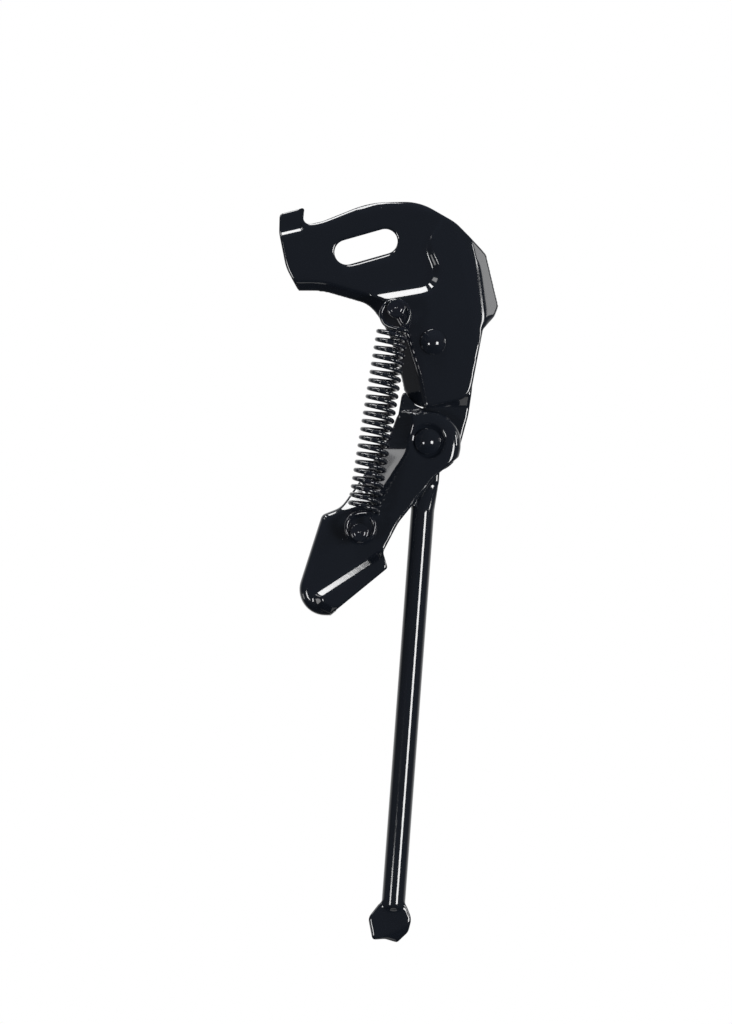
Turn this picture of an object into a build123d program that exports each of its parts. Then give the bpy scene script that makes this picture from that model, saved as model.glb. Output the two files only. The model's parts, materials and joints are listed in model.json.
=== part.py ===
"""Bicycle kickstand that bolts under a rear axle nut: a pressed bracket, a pivot plate, and a leg with a kick
lever that an over-centre spring holds both up and down.

Drawing frame: x to the right, y up, z out of the bicycle, in millimetres. Its origin is the middle of the axle
slot, on the face that rests on the frame end. The parts are stood upright when they are written.
The pieces round the pivot have their own frame: u to the right, v up, w along the pivot, out of the bicycle,
from the pivot plate's front face.
"""
import os
from math import asin, cos, hypot, pi, radians, sin, tan

from build123d import *

# Stock
SHEET = 2.5
LEVER_SHEET = 2.2
PLATE = 3.0
ROD_D = 10.0
WIRE_D = 1.9

# Axle slot
SLOT_WIDTH = 10.5
SLOT_LENGTH = 27.5
SLOT_ANGLE = 15.9

# Bracket form
LEDGE_Y = -20.4
LEDGE_RISE = 3.4
LEDGE_DRAFT = 46.0
SPLAY = 3.0
EDGE_DRAFT = 38.0
EDGE_BACK = 2.5
BEND_R = 2.0
TAB_X = -34.6
TAB_WIDTH = 16.8
TAB_BEND_Y = 4.8
TAB_STEP = 1.9
TAB_TURN = 13.0
SHOULDER_FOLD = 3.0
SIDE_FOLD = 20.0
FLANK_FOLD = 20.0

# Pivot, its rivet and its plate
PIVOT_X = 26.2
PIVOT_Y = -83.0
PIVOT_PIN_R = 3.5
PIVOT_HEAD_R = 5.6
PIVOT_HEAD_H = 3.0
PLATE_STEP = 4.0
STEP_V = 15.2

# Plate rivet, from the pivot
RIVET_U = 2.3
RIVET_V = 42.3
RIVET_PIN_R = 3.0
RIVET_HEAD_R = 5.4
RIVET_HEAD_H = 2.9
TAIL_H = 2.0

# Kick lever
WEB_GAP = 1.7
LEVER_BEND_R = 4.0
LEVER_DEPTH = 12.0
LEVER_TAPER = 4.0
HEAD_R = 13.6
HEAD_SHIFT = 0.4
DIMPLE_R = 7.6
ARM_DRAFT = 46.0
LIP_RISE = 3.0

# Leg rod
LEG_LENGTH = 212.4
LEG_LEAN = 4.28
EYE_R = 7.4
EYE_THICKNESS = 4.0
EYE_LENGTH = 17.5
NECK_WIDTH = 12.0
ROUND_FROM = 29.0
SHANK_END = 12.6
FOOT_THICKNESS = 5.6

# Spring and its posts
COIL_R = 6.0
COILS = 22
COIL_PITCH = 3.5
UPPER_LEAD = 8.8
LOOP_R = 5.9
UPPER_POST_U = -13.4
UPPER_POST_V = 55.5
LOWER_POST_U = -28.9
LOWER_POST_V = -39.3
POST_R = 3.2
POST_GROOVE_R = 2.3
POST_HEAD_R = 3.9
POST_HEAD_H = 1.6
POST_NECK_R = 2.4
POST_SINK = 5.0

# Clearances
RUNNING_FIT = 0.06
RIVET_FIT = 0.02
SIDE_PLAY = 0.3
SPRING_PLAY = 0.6
HOOK_FIT = 0.05
WELD_GAP = 0.2

# Levels along the pivot
STEP_LEVEL = -PLATE_STEP
EYE_BACK = STEP_LEVEL + SIDE_PLAY
EYE_FRONT = EYE_BACK + EYE_THICKNESS
FLOOR_FRONT = EYE_FRONT + LEVER_SHEET
WEB_BACK = EYE_FRONT + WEB_GAP
WEB_FRONT = WEB_BACK + LEVER_SHEET
LEVER_BACK = WEB_FRONT - LEVER_DEPTH
ROD_LEVEL = WEB_BACK - WELD_GAP - ROD_D / 2
HEAD_TOP = max(FLOOR_FRONT + SIDE_PLAY + PIVOT_HEAD_H, SHEET + RIVET_HEAD_H)
SPRING_LEVEL = HEAD_TOP + SPRING_PLAY + COIL_R + WIRE_D / 2

# Frames
LOWER_FACE = Plane(
    (0, LEDGE_Y, SHEET + LEDGE_RISE),
    x_dir=(1, 0, 0),
    z_dir=(0, sin(radians(SPLAY)), cos(radians(SPLAY))),
)
UPRIGHT = Plane.XZ.location


# Helpers
def outline(*corners):
    """Closed face through corners (x, y, radius), each rounded with its own radius."""
    turned = sum(a[0] * b[1] - b[0] * a[1] for a, b in zip(corners, corners[1:] + corners[:1]))
    corners = corners if turned > 0 else corners[::-1]
    points = [Vector(x, y) for x, y, _ in corners]
    rounds = []
    for i, (_, _, radius) in enumerate(corners):
        corner = points[i]
        back = (points[i - 1] - corner).normalized()
        ahead = (points[(i + 1) % len(points)] - corner).normalized()
        half = radians(back.get_angle(ahead)) / 2
        reach = radius / tan(half)
        bulge = radius / sin(half) - radius
        middle = corner + (back + ahead).normalized() * bulge
        rounds.append((corner + back * reach, middle, corner + ahead * reach))
    edges = []
    for i, (start, middle, end) in enumerate(rounds):
        if (end - start).length > 0.001:
            edges.append(ThreePointArc(start, middle, end))
        edges.append(Line(end, rounds[(i + 1) % len(rounds)][0]))
    return make_face(edges).face()


def prism(face, low, high):
    """Solid over a flat face between two levels."""
    return extrude(Pos(0, 0, low) * face, high - low)


def disc(radius, low, high, u=0, v=0):
    """Round solid between two levels."""
    return Pos(u, v, low) * Cylinder(radius, high - low, align=(Align.CENTER, Align.CENTER, Align.MIN))


def dome(radius, height, level, u, v):
    """Rounded rivet head that stands on a level, turned from a few conical bands of a ball."""
    ball_r = (radius**2 + height**2) / (2 * height)
    turns = [asin(radius / ball_r) * i / 3 for i in range(4)]
    rim = [(ball_r * sin(turn), height - ball_r + ball_r * cos(turn)) for turn in turns]
    section = Plane.XZ * make_face(Polyline((0, 0), *rim, close=True))
    return Pos(u, v, level) * revolve(section, Axis.Z)


def rivet_tail(radius, level, u, v):
    """Flattened rivet tail under a level."""
    return disc(radius, level - TAIL_H, level, u, v)


def point_on(plane, x, y):
    """Point of a plane at a place in the drawing."""
    normal = plane.z_dir
    drop = (normal.X * (x - plane.origin.X) + normal.Y * (y - plane.origin.Y)) / normal.Z
    return Vector(x, y, plane.origin.Z - drop)


def folded(plane, low, high, angle):
    """Plane of the sheet to the right of a fold line, turned back from a given plane."""
    start = point_on(plane, *low)
    line = (point_on(plane, *high) - start).normalized()
    normal = plane.z_dir.rotate(Axis((0, 0, 0), line), angle)
    return Plane(start, x_dir=line, z_dir=normal)


def below(plane):
    """Large block whose upper face is a plane."""
    return plane.location * Box(600, 600, 200, align=(Align.CENTER, Align.CENTER, Align.MAX))


SHOULDER_FACE = folded(LOWER_FACE, (44.3, -34.0), (30.2, -17.4), SHOULDER_FOLD)
SIDE_FACE = folded(SHOULDER_FACE, (47.2, -37.4), (43.8, -19.6), SIDE_FOLD)
FLANK_FACE = folded(SIDE_FACE, (50.2, -31.5), (47.7, -9.8), FLANK_FOLD)
PIVOT = Plane(
    point_on(LOWER_FACE.offset(-SHEET), PIVOT_X, PIVOT_Y),
    x_dir=(1, 0, 0),
    z_dir=LOWER_FACE.z_dir,
).location


# Mounting bracket
def bracket_silhouette():
    """Outline of the whole bracket from the front, passing outside its turned walls."""
    return outline(
        (-37.0, 6.0, 8),
        (-36.8, 14.0, 1.8),
        (-26.1, 16.8, 0.8),
        (-27.0, 9.0, 2.6),
        (-18.6, 10.8, 10),
        (1.3, 18.8, 40),
        (22.6, 19.3, 24),
        (38.2, 10.3, 20),
        (52.4, -4.2, 5),
        (57.0, -24.0, 6),
        (54.6, -29.6, 4),
        (49.7, -35.2, 2),
        (44.1, -64.3, 8),
        (22.0, -69.3, 8),
        (15.2, -59.8, 1),
        (6.0, -56.0, 1),
        (-12.0, -34.0, 1),
        (-22.9, -29.5, 1),
        (-34.0, -9.0, 20),
    )


def drafted(face, draft, inset):
    """Solid with sloping walls over an outline at the level where the walls end; the inset one lies inside it."""
    if inset:
        face = offset(face, -inset / cos(radians(draft)), kind=Kind.INTERSECTION).face()
    return extrude(Pos(0, 0, -EDGE_BACK) * face, 12, taper=draft)


def pressed_edge(inset):
    """Drafted solid whose lower left wall is the bracket's turned edge; its other sides are trimmed away."""
    face = outline(
        (-60, -18.6, 0),
        (-18.5, -18.8, 30),
        (1.5, -24.6, 12),
        (9.5, -36.0, 40),
        (15.6, -58, 60),
        (19.5, -85, 0),
        (80, -85, 0),
        (80, 40, 0),
        (-60, 40, 0),
    )
    return drafted(face, EDGE_DRAFT, inset)


def raised_area(inset):
    """Drafted solid under the lower plate and shoulder, with the ledge and the rounded nose as its walls."""
    face = outline(
        (-20, -18.7, 0),
        (24.1, -11.5, 1.5),
        (18.8, 2.2, 16.6),
        (45.1, 40, 0),
        (90, 40, 0),
        (90, -95, 0),
        (-20, -95, 0),
    )
    solid = drafted(face, LEDGE_DRAFT, inset)
    for plane in (LOWER_FACE, SHOULDER_FACE, SIDE_FACE, FLANK_FACE):
        solid &= below(plane.offset(-inset))
    return solid


def wing(inset):
    """Flat part of the bracket; the inset one is the space behind the sheet."""
    solid = pressed_edge(inset) & below(Plane((0, 0, SHEET - inset))) & below(FLANK_FACE.offset(-inset))
    if inset:
        return solid
    lower_left = solid.faces().sort_by(Axis.Z)[-1].edges().filter_by_position(Axis.Y, -80, -10)
    return fillet(lower_left.filter_by_position(Axis.X, -70, 30), BEND_R)


def drawn_block(inset):
    """Raised part of the bracket; the inset one is the hollow behind the sheet."""
    solid = pressed_edge(inset) & raised_area(inset)
    if inset:
        return solid
    return fillet(solid.edges().filter_by_position(Axis.Z, SHEET + 0.4 * LEDGE_RISE, 60), BEND_R)


def stepped_tab():
    """Strip of sheet stepped back along the tab's fold line, longer and wider than the tab."""
    miter = SHEET * tan(radians(22.5))
    section = make_face(
        Polyline(
            (-2, SHEET),
            (0, SHEET),
            (TAB_STEP, SHEET - TAB_STEP),
            (20, SHEET - TAB_STEP),
            (20, -TAB_STEP),
            (TAB_STEP - miter, -TAB_STEP),
            (-miter, 0),
            (-2, 0),
            close=True,
        )
    )
    strip = extrude(Plane.YZ * section, TAB_WIDTH / 2, both=True)
    return Pos(TAB_X, TAB_BEND_Y, 0) * Rot(0, 0, TAB_TURN) * strip


def tab_room():
    """Space above the tab's fold line that the flat wing gives up to the tab."""
    room = Box(TAB_WIDTH, 40, 60, align=(Align.CENTER, Align.MIN, Align.CENTER))
    return Pos(TAB_X, TAB_BEND_Y, 0) * Rot(0, 0, TAB_TURN) * room


def mounting_bracket():
    """Pressed sheet bracket: drawn outside less its inside, trimmed to the silhouette."""
    body = wing(0) + drawn_block(0) - wing(SHEET) - drawn_block(SHEET)
    body = body - tab_room() + stepped_tab()
    body &= prism(bracket_silhouette(), -60, 60)
    slot = Rot(0, 0, SLOT_ANGLE) * SlotOverall(SLOT_LENGTH, SLOT_WIDTH)
    body -= prism(slot, -20, 20)
    return body - PIVOT * disc(RIVET_PIN_R + RIVET_FIT, -20, 20, RIVET_U, RIVET_V)


# Pivot plate
def pivot_plate():
    """Flat plate under the bracket's lower plate, stepped back where the leg turns in front of it."""
    slope = PLATE_STEP * 1.1
    miter = PLATE * tan(0.5 * radians(42))
    section = Plane.YZ * make_face(
        Polyline(
            (80, 0),
            (STEP_V + slope, 0),
            (STEP_V, STEP_LEVEL),
            (-40, STEP_LEVEL),
            (-40, STEP_LEVEL - PLATE),
            (STEP_V + miter, STEP_LEVEL - PLATE),
            (STEP_V + slope + miter, -PLATE),
            (80, -PLATE),
            close=True,
        )
    )
    shape = outline(
        (-12.5, -12.6, 12.4),
        (13.2, -12.6, 12.2),
        (13.9, -1.0, 10),
        (17.4, 12.0, 30),
        (18.8, 22.0, 30),
        (20.0, 42.0, 5),
        (8.0, 57.0, 5),
        (-6.4, 54.5, 4),
        (0.4, 34.5, 20),
        (3.4, 22.6, 3),
        (-0.4, 17.6, 2),
        (-2.0, 14.6, 2),
        (-7.5, 10.8, 3),
        (-12.5, 3.0, 8),
    )
    body = extrude(section, 60, both=True) & prism(shape, -30, 30)
    body -= disc(PIVOT_PIN_R + RIVET_FIT, -30, 30)
    return PIVOT * (body - disc(RIVET_PIN_R + RIVET_FIT, -30, 30, RIVET_U, RIVET_V))


# Rivets
def plate_rivet():
    """Domed rivet that holds the pivot plate to the bracket."""
    body = dome(RIVET_HEAD_R, RIVET_HEAD_H, SHEET, RIVET_U, RIVET_V)
    body += disc(RIVET_PIN_R, -PLATE, SHEET, RIVET_U, RIVET_V)
    return PIVOT * (body + rivet_tail(RIVET_HEAD_R - 0.8, -PLATE, RIVET_U, RIVET_V))


def pivot_rivet():
    """Domed rivet that the leg and the lever turn on."""
    head_level = FLOOR_FRONT + SIDE_PLAY
    back = STEP_LEVEL - PLATE
    body = dome(PIVOT_HEAD_R, PIVOT_HEAD_H, head_level, 0, 0) + disc(PIVOT_PIN_R, back, head_level)
    return PIVOT * (body + rivet_tail(PIVOT_HEAD_R, back, 0, 0))


# Kick lever
def lever_silhouette():
    """Outline of the lever from the front; it passes outside the turned edges."""
    return outline(
        (25, 25, 0),
        (25, 3.5, 0),
        (4.0, -14.1, 12),
        (-12.6, -34.6, 20),
        (-19.0, -47.0, 3),
        (-17.0, -53.8, 1.2),
        (-55, -84.9, 0),
        (-80, -84.9, 0),
        (-80, 25, 0),
    )


def lever_form():
    """Outline of the pressing; its right side and lower side are trimmed away."""
    right = HEAD_R + HEAD_SHIFT
    top = HEAD_R - HEAD_SHIFT
    return outline(
        (right, top, HEAD_R),
        (-12.4, top, 5),
        (-15.8, 3.5, 40),
        (-36.5, -27.7, 10),
        (-44.9, -31.0, 3),
        (-58.5, -73.6, 11),
        (right, -73.6, 0),
        (11.0, -16.0, 3),
        (right, -3.0, 12),
    )


def beside_arm(level):
    """Space to the left of the arm, whose sloping side starts at a level along the arm's fold line."""
    shape = outline(
        (-6.6, 20.0, 0),
        (-6.2, 4.5, 2),
        (-7.0, -3.0, 2),
        (-22.2, -25.4, 5),
        (-37.0, -30.2, 6),
        (-70, -20, 0),
        (-70, 20, 0),
    )
    return extrude(Pos(0, 0, level) * shape, -14, taper=ARM_DRAFT) + prism(shape, level, level + 8)


def pressed_lever():
    """Lever sheet with its edge turned back round the head and pedal, and a sloping wall along the arm's left."""
    form = lever_form()
    outer = prism(form, LEVER_BACK, WEB_FRONT)
    outer = fillet(outer.faces().sort_by(Axis.Z)[-1].edges(), LEVER_BEND_R) - beside_arm(WEB_FRONT)
    inner = prism(offset(form, -LEVER_SHEET, kind=Kind.INTERSECTION).face(), LEVER_BACK - 5, WEB_BACK)
    inner -= beside_arm(WEB_FRONT - LEVER_SHEET / sin(radians(ARM_DRAFT)))
    back = Plane((0, 0, LEVER_BACK), x_dir=(0.8, -0.6, 0), z_dir=(0, 0, 1)).rotated((0, -LEVER_TAPER, 0))
    return outer - inner - below(back)


def stop_finger():
    """Upper end of the lever's left wall, wider at its foot; it stops on the bracket's flank."""
    root = HEAD_R - HEAD_SHIFT
    wall = outline((-12.6, root - LEVER_SHEET, 0), (-10.9, 20.9, 0.8), (-9.6, 20.5, 0.5), (-5.3, root, 0))
    foot = outline((-11.5, root - LEVER_SHEET, 0), (-9.6, 20.0, 0.5), (-5.2, 15.0, 2), (-0.8, root, 0))
    return prism(wall, LEVER_BACK + 0.6, -2 * SIDE_PLAY) + prism(foot, STEP_LEVEL + 2 * SIDE_PLAY, -2 * SIDE_PLAY)


def pedal_lip():
    """Raised border of the pedal's lower edge, with a sloping side towards the arm."""
    shape = outline(
        (-49.0, -65.2, 2.5),
        (-19.8, -46.2, 0),
        (-8.0, -38.5, 0),
        (0, -50, 0),
        (-36.0, -73.4, 0),
        (-41.3, -73.4, 0),
        (-46.8, -70.6, 2),
    )
    return extrude(Pos(0, 0, WEB_FRONT) * shape, LIP_RISE, taper=ARM_DRAFT)


def kick_lever():
    """Pressed lever with a dimple that seats it on the rod's eye, a stop finger and a pedal."""
    lip = pedal_lip()
    body = pressed_lever() + lip - Pos(0, 0, -LEVER_SHEET) * lip
    rim_back = STEP_LEVEL + 2 * SIDE_PLAY
    body -= Pos(-13.4, -40, rim_back) * Box(60, 80, 20, align=(Align.MIN, Align.MIN, Align.MAX))
    body += stop_finger()
    body += disc(DIMPLE_R + 0.8, EYE_FRONT, WEB_BACK)
    body -= Pos(0, 0, FLOOR_FRONT) * Cone(
        DIMPLE_R - 1.2, DIMPLE_R, WEB_FRONT - FLOOR_FRONT, align=(Align.CENTER, Align.CENTER, Align.MIN)
    )
    body &= prism(lever_silhouette(), -40, 40)
    body -= disc(PIVOT_PIN_R + RUNNING_FIT, -30, 30)
    return PIVOT * (body - disc(POST_NECK_R + RIVET_FIT, -30, 30, LOWER_POST_U, LOWER_POST_V))


# Leg rod, drawn along its own axis and then leaned
def rod_eye():
    """Flattened top of the rod, which turns on the pivot."""
    half = NECK_WIDTH / 2
    neck = outline((-half, 0, 0), (half, 0, 0), (half, -EYE_LENGTH, 0), (-half, -EYE_LENGTH, 0))
    return disc(EYE_R, EYE_BACK, EYE_FRONT) + prism(neck, EYE_BACK, EYE_FRONT)


def rod_neck():
    """Change from the flattened section to the round one."""
    flat_level = (EYE_BACK + EYE_FRONT) / 2
    flat = Plane((0, -EYE_LENGTH, flat_level), x_dir=(1, 0, 0), z_dir=(0, -1, 0))
    full = Plane((0, -ROUND_FROM, ROD_LEVEL), x_dir=(1, 0, 0), z_dir=(0, -1, 0))
    return loft([flat * Ellipse(NECK_WIDTH / 2, EYE_THICKNESS / 2), full * Circle(ROD_D / 2)], ruled=True)


def rod_shank():
    """Round length of the rod with a rounded lower end."""
    end = SHANK_END - LEG_LENGTH
    radius = ROD_D / 2
    profile = make_face([
        Line((0, -ROUND_FROM), (radius, -ROUND_FROM)),
        Line((radius, -ROUND_FROM), (radius, end + 2)),
        Line((radius, end + 2), (0.6 * radius, end + 0.5)),
        Line((0.6 * radius, end + 0.5), (0, end)),
        Line((0, end), (0, -ROUND_FROM)),
    ])
    return Pos(0, 0, ROD_LEVEL) * revolve(profile, Axis.Y)


def rod_foot():
    """Flattened lower end of the rod, cut off at a slant."""
    end = -LEG_LENGTH
    shape = outline(
        (-4.6, end + 18, 3),
        (-10.2, end + 9.6, 3.5),
        (-7.7, end + 0.4, 1.2),
        (-2.5, end + 1.2, 2),
        (2.8, end, 0.8),
        (7.2, end + 4.8, 4),
        (8.2, end + 10.6, 6),
        (4.6, end + 18, 3),
    )
    half = FOOT_THICKNESS / 2
    foot = prism(shape, ROD_LEVEL - half, ROD_LEVEL + half)
    facet = Plane((2.0, end + 5.1, ROD_LEVEL + half), x_dir=(0.88, 0.475, 0), z_dir=(0.22, -0.40, 0.89))
    return foot & below(facet)


def leg_rod():
    """Leg: steel rod flattened at both ends."""
    body = rod_eye() + rod_neck() + rod_shank() + rod_foot()
    return PIVOT * Rot(0, 0, -LEG_LEAN) * (body - disc(PIVOT_PIN_R + RUNNING_FIT, -30, 30))


def leg_weld(rod, lever):
    """Weld bead between the rod's left side and the back of the lever."""
    bead_r = 2.2
    bead = Pos(0.45 - ROD_D / 2, -EYE_LENGTH - 6, WEB_BACK - bead_r / 2) * Rot(90, 0, 0) * Cylinder(bead_r, 9)
    return PIVOT * Rot(0, 0, -LEG_LEAN) * bead - rod - lever


# Spring and its posts
def turned_post(u, v, seat):
    """Turned post with a groove for the spring's loop."""
    half_groove = WIRE_D / 2 + SIDE_PLAY
    low = SPRING_LEVEL - half_groove
    high = SPRING_LEVEL + half_groove
    head = disc(POST_HEAD_R, high, high + POST_HEAD_H, u, v)
    return head + disc(POST_GROOVE_R, low, high, u, v) + disc(POST_R, seat, low, u, v)


def upper_spring_post(bracket):
    """Post welded on the bracket's lower plate; its foot follows the plate's rounded edge."""
    post = PIVOT * turned_post(UPPER_POST_U, UPPER_POST_V, SHEET - POST_SINK) - bracket
    return post.solids().sort_by(Axis.Z)[-1]


def lower_spring_post():
    """Post riveted through the lever."""
    body = turned_post(LOWER_POST_U, LOWER_POST_V, WEB_FRONT)
    body += disc(POST_NECK_R, WEB_BACK, WEB_FRONT, LOWER_POST_U, LOWER_POST_V)
    return PIVOT * (body + rivet_tail(POST_R + 0.4, WEB_BACK, LOWER_POST_U, LOWER_POST_V))


def rise(start, end):
    """Points of the wire between a loop and the first coil."""
    bend = Bezier(start, start + Vector(2.6, 2.6, 0), end + Vector(-1.0, 0, 3.4), end)
    return [bend @ (i / 4) for i in range(1, 4)]


def spring_path():
    """Points along the wire: upper loop, left-hand coils, lower loop; x runs from post to post."""
    length = hypot(LOWER_POST_U - UPPER_POST_U, LOWER_POST_V - UPPER_POST_V)
    shift = LOOP_R - WIRE_D / 2 - POST_GROOVE_R - HOOK_FIT
    per_turn = 8
    coils = []
    for i in range(COILS * per_turn + 1):
        turn = 2 * pi * i / per_turn
        x = UPPER_LEAD + COIL_PITCH * i / per_turn
        coils.append(Vector(x, COIL_R * cos(turn), -COIL_R * sin(turn)))
    loop = []
    for i in range(11):
        turn = radians(35 + 280 * i / 10)
        loop.append(Vector(shift + LOOP_R * cos(turn), LOOP_R * sin(turn), 0))
    upper = loop + rise(loop[-1], coils[0])
    end = Vector(length - coils[-1].X, COIL_R, 0)
    lower = [Vector(length - p.X, p.Y, -p.Z) for p in reversed(loop + rise(loop[-1], end))]
    return upper + coils + lower


def return_spring():
    """Close-wound extension spring with a full loop at each end."""
    points = spring_path()
    across = Vector(0, 0, 1)
    sections = []
    for i, point in enumerate(points):
        along = (points[min(i + 1, len(points) - 1)] - points[max(i - 1, 0)]).normalized()
        across = (across - along * across.dot(along)).normalized()
        sections.append(Plane(point, x_dir=across, z_dir=along) * RegularPolygon(WIRE_D / 2, 4))
    wire = loft(sections, ruled=True)
    run = Vector(LOWER_POST_U - UPPER_POST_U, LOWER_POST_V - UPPER_POST_V)
    frame = Plane((UPPER_POST_U, UPPER_POST_V, SPRING_LEVEL), x_dir=run, z_dir=(0, 0, 1))
    return PIVOT * frame.location * wire


# Write the pieces
bracket = mounting_bracket()
lever = kick_lever()
rod = leg_rod()
PIECES = {
    "mounting_bracket": bracket,
    "pivot_plate": pivot_plate(),
    "plate_rivet": plate_rivet(),
    "upper_spring_post": upper_spring_post(bracket),
    "pivot_rivet": pivot_rivet(),
    "kick_lever": lever,
    "leg_rod": rod,
    "leg_weld": leg_weld(rod, lever),
    "lower_spring_post": lower_spring_post(),
    "return_spring": return_spring(),
}
os.makedirs("parts", exist_ok=True)
for name, piece in PIECES.items():
    export_step(UPRIGHT * piece, f"parts/{name}.step")
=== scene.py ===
"""Looks of a gloss black bicycle kickstand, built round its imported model."""

import json
from math import cos, pi, radians, sin, tan

import bmesh
import bpy
import numpy as np
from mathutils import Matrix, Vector


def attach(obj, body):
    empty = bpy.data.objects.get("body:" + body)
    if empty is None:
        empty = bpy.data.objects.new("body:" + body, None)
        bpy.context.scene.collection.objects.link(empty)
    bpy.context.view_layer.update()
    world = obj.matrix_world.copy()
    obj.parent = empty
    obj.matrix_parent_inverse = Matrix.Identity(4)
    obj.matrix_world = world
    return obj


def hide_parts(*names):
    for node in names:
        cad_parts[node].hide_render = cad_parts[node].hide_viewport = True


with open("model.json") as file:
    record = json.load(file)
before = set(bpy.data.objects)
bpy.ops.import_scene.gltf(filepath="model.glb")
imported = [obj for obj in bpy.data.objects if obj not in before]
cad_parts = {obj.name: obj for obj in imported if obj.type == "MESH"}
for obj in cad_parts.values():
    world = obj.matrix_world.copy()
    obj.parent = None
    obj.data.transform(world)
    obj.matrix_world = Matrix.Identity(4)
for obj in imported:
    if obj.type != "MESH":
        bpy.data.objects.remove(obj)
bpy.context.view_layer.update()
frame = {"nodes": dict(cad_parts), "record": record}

# Mounting bracket
# Sheet steel, pressed to a flat wing with an axle slot and a raised lower plate, its edges turned back.
# It is dipped in gloss black stove enamel, which rounds every cut edge and leaves a fine orange peel.
BLACK = (0.0088, 0.0112, 0.0165)
DUST_GREY = (0.16, 0.17, 0.19)
PEEL_SCALE = 700
CLOUD_SCALE = 60
CLOUD_LOW = 0.3
CLOUD_HIGH = 0.7
SHINIEST = 0.75
DULLEST = 1.35
NIB_CELLS = 190
NIB_RIM = 0.035
NIB_TOP = 0.015
NIB_HEIGHT = 3.0


def noise(tree, place, scale, detail):
    """Grey value of a noise texture read at a place."""
    node = tree.nodes.new("ShaderNodeTexNoise")
    node.inputs["Scale"].default_value = scale
    node.inputs["Detail"].default_value = detail
    tree.links.new(place, node.inputs["Vector"])
    return node.outputs["Fac"]


def ranged(tree, value, start, end, low=0, high=1, interpolation="LINEAR"):
    """Value carried from the range start to end onto the range low to high, and held at its ends."""
    node = tree.nodes.new("ShaderNodeMapRange")
    node.interpolation_type = interpolation
    node.inputs["From Min"].default_value = start
    node.inputs["From Max"].default_value = end
    node.inputs["To Min"].default_value = low
    node.inputs["To Max"].default_value = high
    tree.links.new(value, node.inputs["Value"])
    return node.outputs["Result"]


def computed(tree, operation, *terms):
    """Result of one math operation on terms that are numbers or other nodes' outputs."""
    node = tree.nodes.new("ShaderNodeMath")
    node.operation = operation
    for socket, term in zip(node.inputs, terms):
        if isinstance(term, bpy.types.NodeSocket):
            tree.links.new(term, socket)
        else:
            socket.default_value = term
    return node.outputs["Value"]


def nibs(tree, place, share):
    """Dots of trapped dust: 1 at the middle of a Voronoi cell, 0 past NIB_RIM, in a share of the cells."""
    cells = tree.nodes.new("ShaderNodeTexVoronoi")
    cells.inputs["Scale"].default_value = NIB_CELLS
    tree.links.new(place, cells.inputs["Vector"])
    dot = ranged(tree, cells.outputs["Distance"], NIB_RIM, NIB_TOP)
    colour = tree.nodes.new("ShaderNodeSeparateColor")
    tree.links.new(cells.outputs["Color"], colour.inputs["Color"])
    chosen = computed(tree, "LESS_THAN", colour.outputs["Red"], share)
    return computed(tree, "MULTIPLY", dot, chosen)


def enamel(name, roughness, peel, nib_share):
    """Gloss enamel: black paint of clouded roughness, whose height is a fine noise (peel) plus dust nibs."""
    material = bpy.data.materials.new(name)
    material.use_nodes = True
    tree = material.node_tree
    shader = tree.nodes["Principled BSDF"]
    shader.inputs["Specular IOR Level"].default_value = 0.6
    shader.inputs["IOR"].default_value = 1.5
    place = tree.nodes.new("ShaderNodeTexCoord").outputs["Object"]
    nib = nibs(tree, place, nib_share)

    cloud = noise(tree, place, CLOUD_SCALE, detail=3)
    shine = ranged(tree, cloud, CLOUD_LOW, CLOUD_HIGH, roughness * SHINIEST, roughness * DULLEST)
    tree.links.new(shine, shader.inputs["Roughness"])

    coat = tree.nodes.new("ShaderNodeMix")
    coat.data_type = "RGBA"
    coat.inputs["A"].default_value = (*BLACK, 1)
    coat.inputs["B"].default_value = (*DUST_GREY, 1)
    tree.links.new(nib, coat.inputs["Factor"])
    tree.links.new(coat.outputs["Result"], shader.inputs["Base Color"])

    waves = noise(tree, place, PEEL_SCALE, detail=2)
    bump = tree.nodes.new("ShaderNodeBump")
    bump.inputs["Strength"].default_value = 1.0
    bump.inputs["Distance"].default_value = peel
    tree.links.new(computed(tree, "MULTIPLY_ADD", nib, NIB_HEIGHT, waves), bump.inputs["Height"])
    tree.links.new(bump.outputs["Normal"], shader.inputs["Normal"])
    return material


def painted_copy(node, grain, passes):
    """Copy of a solid with paint-rounded edges: resampled on a grid of a given grain, then smoothed.

    In each pass every point moves towards its neighbours' mean.
    """
    piece = bpy.data.objects.new(node + "_painted", frame["nodes"][node].data.copy())
    bpy.context.scene.collection.objects.link(piece)
    form = bmesh.new()
    form.from_mesh(piece.data)
    bmesh.ops.remove_doubles(form, verts=form.verts, dist=1e-6)
    form.to_mesh(piece.data)
    form.free()
    grid = piece.modifiers.new("grid", "REMESH")
    grid.mode = "VOXEL"
    grid.voxel_size = grain
    relax = piece.modifiers.new("relax", "SMOOTH")
    relax.factor = 0.5
    relax.iterations = passes
    resampled = piece.evaluated_get(bpy.context.evaluated_depsgraph_get())
    mesh = bpy.data.meshes.new_from_object(resampled)
    mesh.shade_smooth()
    piece.modifiers.clear()
    piece.data = mesh
    return piece


def points_of(piece):
    """The piece's vertices, one row of x, y, z each."""
    points = np.empty(len(piece.data.vertices) * 3)
    piece.data.vertices.foreach_get("co", points)
    return points.reshape(-1, 3)


def move_points(piece, points):
    """Puts the piece's vertices at new places."""
    piece.data.vertices.foreach_set("co", points.ravel())
    piece.data.update()


def off_line(points, start, end):
    """Distance of each point from the straight line between two places."""
    run = np.subtract(end, start)
    part = np.clip((points - start) @ run / (run @ run), 0, 1)[:, None]
    return np.linalg.norm(points - start - part * run, axis=1)


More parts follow.
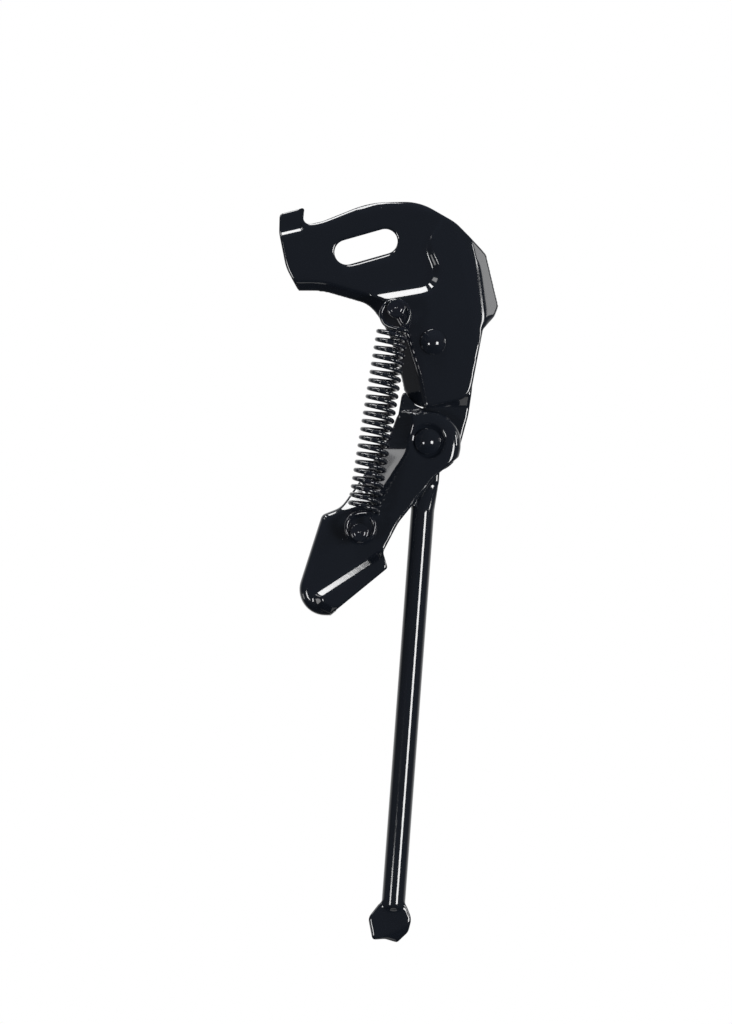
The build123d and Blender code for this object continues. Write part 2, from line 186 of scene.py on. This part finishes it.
def eased_shading(piece, *bends):
    """Normals of larger bends: near each line a normal becomes its neighbours' mean, pass by pass.

    A bend is (start, end, reach, passes). It acts in full within its reach and fades out at twice the reach.
    """
    mesh = piece.data
    points = points_of(piece)
    normals = np.empty(points.size)
    mesh.vertex_normals.foreach_get("vector", normals)
    normals = normals.reshape(-1, 3)
    edges = np.empty(len(mesh.edges) * 2, dtype=np.int64)
    mesh.edges.foreach_get("vertices", edges)
    edges = edges.reshape(-1, 2)
    near = np.concatenate([edges[:, 0], edges[:, 1]])
    here = np.concatenate([edges[:, 1], edges[:, 0]])
    count = np.bincount(here, minlength=len(points))[:, None]
    for start, end, reach, passes in bends:
        share = np.clip(2 - off_line(points, start, end) / reach, 0, 1)[:, None]
        for _ in range(passes):
            sums = [np.bincount(here, column[near], len(points)) for column in normals.T]
            mean = np.stack(sums, axis=1) / count
            normals = normals + share * (mean - normals)
            normals /= np.linalg.norm(normals, axis=1, keepdims=True)
    mesh.normals_split_custom_set_from_vertices(normals.tolist())


TAB_RIGHT = -0.0245
TAB_FOOT = 0.0098
TAB_FRONT = -0.0006


def flat_tab(piece):
    """Presses the free end of the wing's tab to one level: no point of it stays in front of TAB_FRONT."""
    points = points_of(piece)
    tab = (points[:, 0] < TAB_RIGHT) & (points[:, 2] > TAB_FOOT)
    points[tab, 1] = np.maximum(points[tab, 1], TAB_FRONT)
    move_points(piece, points)


def finished(piece, node, body, material):
    """Gives a piece its material and puts it in its node's place on a body."""
    piece.data.materials.clear()
    piece.data.materials.append(material)
    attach(piece, body)
    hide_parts(node)


SHEET_GRAIN = 0.00035
ALL_OVER = ((0, 0, 0), (0, 0, -0.1), 1.0, 8)
flank_bend = ((0.0500, -0.005, -0.0310), (0.0477, -0.005, -0.0100), 0.003, 60)
slot_rim = ((-0.0073, -0.0025, -0.0080), (0.0107, -0.0025, -0.0032), 0.002, 90)
left_rim = ((-0.0238, -0.0025, 0.0099), (-0.0004, -0.0025, 0.0170), 0.002, 50)
top_rim = ((-0.0004, -0.0025, 0.0170), (0.0272, -0.0025, 0.0175), 0.002, 50)
sheet_enamel = enamel("sheet_enamel", roughness=0.08, peel=0.000005, nib_share=0.30)
bracket = painted_copy("mounting_bracket", SHEET_GRAIN, passes=9)
flat_tab(bracket)
eased_shading(bracket, ALL_OVER, flank_bend, slot_rim, left_rim, top_rim)
finished(bracket, "mounting_bracket", "bracket", sheet_enamel)

# Pivot plate
# Stamped steel plate riveted behind the bracket's lower plate, stepped back to make room for the leg's eye.
# It is enamelled with the rest after riveting.
plate = painted_copy("pivot_plate", SHEET_GRAIN, passes=6)
eased_shading(plate, ALL_OVER)
finished(plate, "pivot_plate", "bracket", sheet_enamel)

# Rivets
# Solid steel rivets with domed heads: one holds the pivot plate, the other is the pin the leg turns on.
# Their tails are spread flat behind, and the enamel rounds the rim where a head meets the sheet.
leg_pivot = frame["record"]["behaviour"]["joints"][0]
PIVOT = np.array(leg_pivot["pos_m"])
OUT = np.array(leg_pivot["axis"])
RIGHT = np.array([1.0, 0.0, 0.0])
UP = np.cross(OUT, RIGHT)
PAINT_EASE = 0.3
EASE_SHARE = 0.45
EASE_POINTS = 7
ROUND_POINTS = 96
BALL_R = 6.5
DOME_SWING = radians(28)
DOME_POINTS = 25


def from_pivot(u, v, w):
    """Points, in metres, of places u right, v up and w out from the pivot, in millimetres."""
    offset = np.multiply.outer(u, RIGHT) + np.multiply.outer(v, UP) + np.multiply.outer(w, OUT)
    return PIVOT + 0.001 * offset


def to_pivot(points):
    """Millimetres right, up and out from the pivot, of points in metres."""
    local = (points - PIVOT) * 1000
    return local @ RIGHT, local @ UP, local @ OUT


def skin(name, points, capped):
    """Mesh over a grid of points [along, round]: quads between neighbours, closed round, capped if asked."""
    along, around = points.shape[:2]
    index = np.arange(along * around).reshape(along, around)
    turned = np.roll(index, -1, axis=1)
    quads = np.stack([index[:-1], turned[:-1], turned[1:], index[1:]], axis=-1).reshape(-1, 4)
    faces = quads.tolist()
    if capped:
        faces.append(index[0][::-1].tolist())
        faces.append(index[-1].tolist())
    mesh = bpy.data.meshes.new(name)
    mesh.from_pydata(points.reshape(-1, 3).tolist(), [], faces)
    form = bmesh.new()
    form.from_mesh(mesh)
    bmesh.ops.remove_doubles(form, verts=form.verts, dist=1e-7)
    bmesh.ops.recalc_face_normals(form, faces=form.faces)
    form.to_mesh(mesh)
    form.free()
    mesh.shade_smooth()
    piece = bpy.data.objects.new(name, mesh)
    bpy.context.scene.collection.objects.link(piece)
    return piece


def eased(profile):
    """Profile whose inner corners are quadratic curves, each from PAINT_EASE before to PAINT_EASE after it.

    On a short run a curve takes up no more than EASE_SHARE of the run.
    """
    profile = np.array(profile, float)
    before, corner, after = profile[:-2], profile[1:-1], profile[2:]
    back, ahead = before - corner, after - corner
    back *= np.minimum(PAINT_EASE / np.linalg.norm(back, axis=1, keepdims=True), EASE_SHARE)
    ahead *= np.minimum(PAINT_EASE / np.linalg.norm(ahead, axis=1, keepdims=True), EASE_SHARE)
    t = np.linspace(0, 1, EASE_POINTS)[None, :, None]
    curve = corner[:, None] + (1 - t) ** 2 * back[:, None] + t**2 * ahead[:, None]
    return np.concatenate([profile[:1], curve.reshape(-1, 2), profile[-1:]])


def turned_piece(name, profile, u, v):
    """Surface of revolution: a profile of (radius, level) carried round an axis parallel to the pivot."""
    angle = np.linspace(0, 2 * pi, ROUND_POINTS + 1)[:-1]
    radius = profile[:, :1]
    level = np.repeat(profile[:, 1:], angle.size, axis=1)
    points = from_pivot(u + radius * np.cos(angle), v + radius * np.sin(angle), level)
    return skin(name, points, capped=False)


def rivet_profile(head_r, head_h, seat, pin_r, back, tail_r, tail_h):
    """Domed head as an arc that runs out to a straight shoulder, pin, and a flat tail with eased edges."""
    swing = np.linspace(0, DOME_SWING, DOME_POINTS)
    dome = np.stack([BALL_R * np.sin(swing), seat + head_h - BALL_R + BALL_R * np.cos(swing)], axis=1)
    shoulder = dome[-1, 1] - (head_r - dome[-1, 0]) * tan(DOME_SWING)
    tail = back - tail_h
    rim = [dome[-1], (head_r, shoulder), (head_r, seat)]
    pin = [(pin_r, seat), (pin_r, back), (tail_r, back), (tail_r, tail), (0, tail)]
    return np.concatenate([dome[:-1], eased(rim + pin)])


rivet_enamel = enamel("rivet_enamel", roughness=0.06, peel=0.000004, nib_share=0.25)
plate_rivet_form = rivet_profile(
    head_r=5.4, head_h=2.9, seat=2.5, pin_r=3.0, back=-3.0, tail_r=4.6, tail_h=2.0
)
plate_rivet = turned_piece("plate_rivet_painted", plate_rivet_form, u=2.3, v=42.3)
finished(plate_rivet, "plate_rivet", "bracket", rivet_enamel)
pivot_rivet_form = rivet_profile(
    head_r=5.6, head_h=3.0, seat=2.8, pin_r=3.5, back=-7.0, tail_r=5.6, tail_h=2.0
)
pivot_rivet = turned_piece("pivot_rivet_painted", pivot_rivet_form, u=0.0, v=0.0)
finished(pivot_rivet, "pivot_rivet", "bracket", rivet_enamel)

# Spring posts
# Turned steel pins with a groove for the spring's loops: one welded on the bracket, one riveted to the lever.
# Their slightly domed heads keep a turned ring and a centre pit under the enamel.
UPPER = np.array([-13.4, 55.5])
LOWER = np.array([-28.9, -39.3])
FACE_R = 3.3
FACE_LEVEL = 16.15
FACE_DOME = 0.012
FACE_POINTS = 67
PIT_DEPTH = 0.25
PIT_WIDTH = 0.5
RING_DEPTH = 0.08
RING_WIDTH = 0.25
RING_R = 2.4
HEAD_R = 3.9
HEAD_RIM = 15.7
HEAD_BACK = 14.6
GROOVE_R = 2.3
GROOVE_BACK = 12.1
SHANK_R = 3.2
WELD_LEVEL = 1.0
LEVER_FRONT = 4.2
LEVER_BACK = 2.0
LEVER_HOLE_R = 2.4
POST_TAIL_R = 3.6
POST_TAIL_LEVEL = 0.0


def post_profile(foot):
    """Slightly domed head with a bell-shaped pit and one ring pressed in it, a groove, a shank and a foot."""
    r = np.linspace(0, FACE_R, FACE_POINTS)
    pit = PIT_DEPTH * np.exp(-((r / PIT_WIDTH) ** 2))
    ring = RING_DEPTH * np.exp(-(((r - RING_R) / RING_WIDTH) ** 2))
    face = np.stack([r, FACE_LEVEL - FACE_DOME * r**2 - pit - ring], axis=1)
    head = [face[-1], (HEAD_R, HEAD_RIM), (HEAD_R, HEAD_BACK)]
    groove = [(GROOVE_R, HEAD_BACK), (GROOVE_R, GROOVE_BACK), (SHANK_R, GROOVE_BACK)]
    return np.concatenate([face[:-1], eased(head + groove + foot)])


welded_foot = [(SHANK_R, WELD_LEVEL), (0, WELD_LEVEL)]
upper_post = turned_piece("upper_spring_post_painted", post_profile(welded_foot), *UPPER)
finished(upper_post, "upper_spring_post", "bracket", rivet_enamel)
riveted_foot = [
    (SHANK_R, LEVER_FRONT),
    (LEVER_HOLE_R, LEVER_FRONT),
    (LEVER_HOLE_R, LEVER_BACK),
    (POST_TAIL_R, LEVER_BACK),
    (POST_TAIL_R, POST_TAIL_LEVEL),
    (0, POST_TAIL_LEVEL),
]
lower_post = turned_piece("lower_spring_post_painted", post_profile(riveted_foot), *LOWER)
finished(lower_post, "lower_spring_post", "leg", rivet_enamel)

# Kick lever
# Pressed steel lever, its edge turned back round the head and along the left; a dimple seats it on the eye.
# The pedal's lower edge is raised to a lip that the shoe pushes on.
FINGER_MOVE = 0.42
FINGER_START = 4
FINGER_SIDE = 15


def snug_finger(piece):
    """Brings the lever's stop finger, which the solids keep clear, up to the bracket's edge it rests on.

    The finger is what lies up and left, with v - u over FINGER_SIDE. It moves alike in u and v, and the move
    grows from none where their mean is FINGER_START to all of it a millimetre further on.
    """
    u, v, w = to_pivot(points_of(piece))
    move = FINGER_MOVE * np.clip((u + v) / 2 - FINGER_START, 0, 1) * (v - u > FINGER_SIDE)
    move_points(piece, from_pivot(u + move, v + move, w))


arm_fold = (from_pivot(-7.5, -1.0, 4.2), from_pivot(-19.0, -20.0, 4.2), 0.005, 60)
lever = painted_copy("kick_lever", SHEET_GRAIN, passes=6)
snug_finger(lever)
eased_shading(lever, ALL_OVER, arm_fold)
finished(lever, "kick_lever", "leg", sheet_enamel)

# Leg rod
# Round steel rod, forged flat at the top for the pivot eye and at the bottom for the foot.
# The rod is drawn stock, so its round length is true.
LEAN = radians(4.28)
ROD_R = 5.0
ROD_LEVEL = -3.2
ROUND_TOP = 29.0
ROUND_BOTTOM = 197.0
ROUND_FADE = 3
ROD_CORE = 0.1


def true_round(piece):
    """Sets each point of the rod's round length to the stock's radius, fading out over its two ends."""
    u, v, w = to_pivot(points_of(piece))
    side = u * cos(LEAN) - v * sin(LEAN)
    down = -(u * sin(LEAN) + v * cos(LEAN))
    deep = w - ROD_LEVEL
    distance = np.hypot(side, deep)
    round_part = np.clip(np.minimum(down - ROUND_TOP, ROUND_BOTTOM - down) / ROUND_FADE, 0, 1)
    growth = 1 + round_part * (ROD_R / np.maximum(distance, ROD_CORE) - 1)
    side, deep = side * growth, deep * growth
    u = side * cos(LEAN) - down * sin(LEAN)
    v = -side * sin(LEAN) - down * cos(LEAN)
    move_points(piece, from_pivot(u, v, deep + ROD_LEVEL))


rod_enamel = enamel("rod_enamel", roughness=0.07, peel=0.000005, nib_share=0.30)
rod = painted_copy("leg_rod", grain=0.0004, passes=12)
true_round(rod)
eased_shading(rod, ALL_OVER)
finished(rod, "leg_rod", "leg", rod_enamel)

# Leg weld
# Short bead of weld that joins the rod's side to the back of the lever, enamelled over.
weld = painted_copy("leg_weld", grain=0.00025, passes=3)
finished(weld, "leg_weld", "leg", rod_enamel)

# Return spring
# Extension spring of hard steel wire, wound left-handed, with a full loop at each end in a post's groove.
# The enamel is thinner here, with less peel.
SPRING_LEVEL = 13.35
COIL_R = 6.0
COILS = 22
COIL_POINTS = 44
PITCH = 3.5
UPPER_LEAD = 8.8
WIRE_R = 0.95
WIRE_SIDES = 16
LOOP_R = 5.9
LOOP_SEAT = 2.5
LOOP_SHIFT = LOOP_R - WIRE_R - LOOP_SEAT
LOOP_START = 35
LOOP_END = 315
LOOP_POINTS = 60
RISE_POINTS = 20
RISE_OUT = (2.6, 2.6, 0)
RISE_IN = (-1.0, 0, 3.4)


def loop_and_rise(end):
    """Arc of a loop in the plane of the posts, then a cubic curve from it to the start of the coils."""
    swing = np.radians(np.linspace(LOOP_START, LOOP_END, LOOP_POINTS))
    loop = np.stack([LOOP_SHIFT + LOOP_R * np.cos(swing), LOOP_R * np.sin(swing), 0 * swing], axis=1)
    start = loop[-1]
    out = start + RISE_OUT
    into = end + RISE_IN
    t = np.linspace(0, 1, RISE_POINTS + 2)[1:-1, None]
    rise = (1 - t) ** 3 * start + 3 * t * (1 - t) ** 2 * out + 3 * t**2 * (1 - t) * into + t**3 * end
    return np.concatenate([loop, rise])


def spring_centreline():
    """Wire centre as (x from post to post, y across, z out): upper loop, helix, lower loop turned round."""
    length = np.linalg.norm(LOWER - UPPER)
    turn = np.linspace(0, 2 * pi * COILS, COILS * COIL_POINTS + 1)
    advance = UPPER_LEAD + PITCH * turn / (2 * pi)
    coils = np.stack([advance, COIL_R * np.cos(turn), -COIL_R * np.sin(turn)], axis=1)
    upper = loop_and_rise(coils[0])
    lower = loop_and_rise(np.array([length - coils[-1, 0], COIL_R, 0]))
    return np.concatenate([upper, coils, lower[::-1] * (-1, 1, -1) + (length, 0, 0)])


def wire(name, line):
    """Round tube: a circle of the wire's radius, square to the centreline at each of its points.

    Its first point lies towards z in the loops and towards x in the coils, and swings over between them.
    """
    along = np.gradient(line, axis=0)
    along /= np.linalg.norm(along, axis=1, keepdims=True)
    middle = len(line) / 2
    from_loop = middle - LOOP_POINTS - np.abs(np.arange(len(line)) - middle)
    coiled = np.clip(from_loop / RISE_POINTS, 0, 1)[:, None]
    across = coiled * (1, 0, 0) + (1 - coiled) * (0, 0, 1)
    across -= along * np.sum(across * along, axis=1, keepdims=True)
    across /= np.linalg.norm(across, axis=1, keepdims=True)
    beside = np.cross(along, across)
    angle = np.linspace(0, 2 * pi, WIRE_SIDES + 1)[:-1, None]
    tube = line[:, None] + WIRE_R * (across[:, None] * np.cos(angle) + beside[:, None] * np.sin(angle))
    run = (LOWER - UPPER) / np.linalg.norm(LOWER - UPPER)
    u = UPPER[0] + tube[..., 0] * run[0] - tube[..., 1] * run[1]
    v = UPPER[1] + tube[..., 0] * run[1] + tube[..., 1] * run[0]
    return skin(name, from_pivot(u, v, SPRING_LEVEL + tube[..., 2]), capped=True)


spring_enamel = enamel("spring_enamel", roughness=0.06, peel=0.000003, nib_share=0.10)
spring = wire("return_spring_painted", spring_centreline())
finished(spring, "return_spring", "spring", spring_enamel)

# Studio
# The camera sees white all round. For light and reflections it is white behind, dark below and in front.
# Soft boxes stand above and to the left, panels on both sides, and two lamps in front, the right one larger.
FLOOR_LEVEL = -1.0
FLOOR_SIDE = 0.2
FLOOR_FRONT = -0.4
floor_mesh = bpy.data.meshes.new("floor")
floor_corners = [
    (-FLOOR_SIDE, FLOOR_FRONT, FLOOR_LEVEL),
    (FLOOR_SIDE, FLOOR_FRONT, FLOOR_LEVEL),
    (FLOOR_SIDE, 0.0, FLOOR_LEVEL),
    (-FLOOR_SIDE, 0.0, FLOOR_LEVEL),
]
floor_mesh.from_pydata(floor_corners, [], [(0, 1, 2, 3)])
floor = bpy.data.objects.new("floor", floor_mesh)
bpy.context.scene.collection.objects.link(floor)
pale = bpy.data.materials.new("pale_floor")
pale.use_nodes = True
pale_nodes = pale.node_tree.nodes
pale_links = pale.node_tree.links
pale_nodes["Principled BSDF"].inputs["Base Color"].default_value = (0.85, 0.85, 0.85, 1)
pale_nodes["Principled BSDF"].inputs["Roughness"].default_value = 0.8
white = pale_nodes.new("ShaderNodeEmission")
seen = pale_nodes.new("ShaderNodeLightPath")
either = pale_nodes.new("ShaderNodeMixShader")
pale_links.new(seen.outputs["Is Camera Ray"], either.inputs["Fac"])
pale_links.new(pale_nodes["Principled BSDF"].outputs["BSDF"], either.inputs[1])
pale_links.new(white.outputs["Emission"], either.inputs[2])
pale_links.new(either.outputs["Shader"], pale_nodes["Material Output"].inputs["Surface"])
floor_mesh.materials.append(pale)

world = bpy.data.worlds.new("studio")
bpy.context.scene.world = world
world.use_nodes = True
sky = world.node_tree
direction = sky.nodes.new("ShaderNodeTexCoord")
axes = sky.nodes.new("ShaderNodeSeparateXYZ")
sky.links.new(direction.outputs["Generated"], axes.inputs["Vector"])
behind = ranged(
    sky, axes.outputs["Y"], start=0.1, end=0.8, low=0.06, high=1.0, interpolation="SMOOTHSTEP"
)
above = ranged(
    sky, axes.outputs["Z"], start=-0.7, end=-0.2, low=0.15, high=1.0, interpolation="SMOOTHSTEP"
)
shaded = computed(sky, "MULTIPLY", behind, above)
ray = sky.nodes.new("ShaderNodeLightPath")
strength = computed(sky, "MAXIMUM", shaded, ray.outputs["Is Camera Ray"])
sky.links.new(strength, sky.nodes["Background"].inputs["Strength"])
sky.nodes["Background"].inputs["Color"].default_value = (1, 1, 1, 1)


def soft_light(name, place, aim, width, height, power):
    """Rectangular lamp at a place, turned to face the point of the Z axis at the height of its aim."""
    data = bpy.data.lights.new(name, "AREA")
    data.shape = "RECTANGLE"
    data.size = width
    data.size_y = height
    data.energy = power
    lamp = bpy.data.objects.new(name, data)
    lamp.location = place
    lamp.rotation_mode = "QUATERNION"
    lamp.rotation_quaternion = (Vector((0.0, 0.0, aim)) - Vector(place)).to_track_quat("-Z", "Y")
    bpy.context.scene.collection.objects.link(lamp)


soft_light("overhead_left", (-0.235, -0.03, 1.055), aim=-0.05, width=0.5, height=0.47, power=11.5)
soft_light("upper_left", (-0.675, -0.03, 0.84), aim=-0.15, width=0.5, height=0.11, power=2.7)
soft_light("high_left", (-1.044, -0.177, 0.605), aim=-0.1, width=0.4, height=0.25, power=1.2)
soft_light("front_right", (0.9, -1.44, -0.18), aim=-0.11, width=0.5, height=0.56, power=15.6)
soft_light("front_left", (-0.9, -1.44, -0.33), aim=-0.15, width=0.35, height=0.4, power=6.4)
soft_light("right_panel", (1.13, -0.48, 0.145), aim=-0.03, width=0.2, height=0.35, power=3.5)
soft_light("far_right_panel", (1.2, 0.04, 0.3), aim=-0.03, width=0.3, height=0.3, power=1.1)
soft_light("left_panel", (-1.1, -0.08, -0.46), aim=-0.03, width=0.3, height=0.28, power=0.85)

# Camera
# Level with the middle of the picture and square to the wing, far off with a long lens.
DISTANCE = 2.5
PIXEL = 0.4255e-3
PICTURE_ROWS = 1024
ORIGIN_ROW = 247
camera = bpy.data.objects.new("camera", bpy.data.cameras.new("camera"))
camera.data.lens = camera.data.sensor_width * DISTANCE / (PICTURE_ROWS * PIXEL)
camera.location = (0.0, -DISTANCE, (ORIGIN_ROW - PICTURE_ROWS / 2) * PIXEL)
camera.rotation_euler = (pi / 2, 0, 0)
bpy.context.scene.collection.objects.link(camera)
bpy.context.scene.camera = camera
bpy.context.scene.view_settings.view_transform = "Standard"
